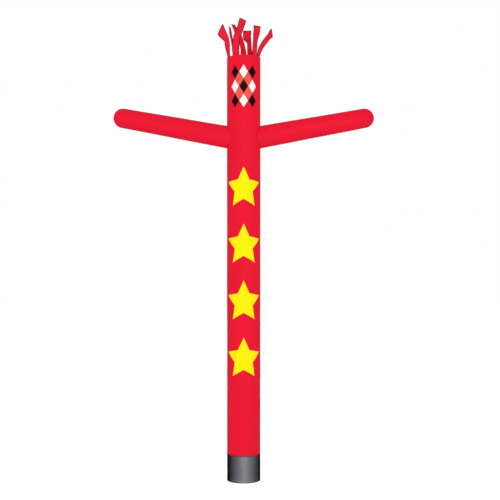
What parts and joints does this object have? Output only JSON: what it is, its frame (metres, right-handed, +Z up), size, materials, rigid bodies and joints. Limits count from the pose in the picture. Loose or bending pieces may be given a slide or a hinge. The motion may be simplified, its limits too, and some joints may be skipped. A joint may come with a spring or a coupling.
{
  "type": "inflatable air dancer",
  "caption": "Tall open cloth tube on a round cuff, with a closed sleeve arm on each side and loose strips of hair round its rim; air blown in at the foot stands it up.",
  "frame": {"origin": "centre of the hem ring that the cuff stands on, on the floor", "axes": "+Z up along the tube, +X to the viewer's right along the right arm, -Y towards the viewer, out of the printed front"},
  "size_m": [3.5828, 0.457, 6.3301],
  "materials": {
    "red_nylon": "satin",
    "red_streamer_nylon": "satin",
    "black_cuff_cloth": "satin"
  },
  "bodies": {
    "root": {"body_tube": "red_nylon", "base_cuff": "black_cuff_cloth", "arm_left": "red_nylon", "arm_right": "red_nylon", "streamer_1": "red_streamer_nylon", "streamer_2": "red_streamer_nylon", "streamer_3": "red_streamer_nylon", "streamer_4": "red_streamer_nylon", "streamer_5": "red_streamer_nylon", "streamer_6": "red_streamer_nylon", "streamer_7": "red_streamer_nylon"}
  },
  "joints": []
}
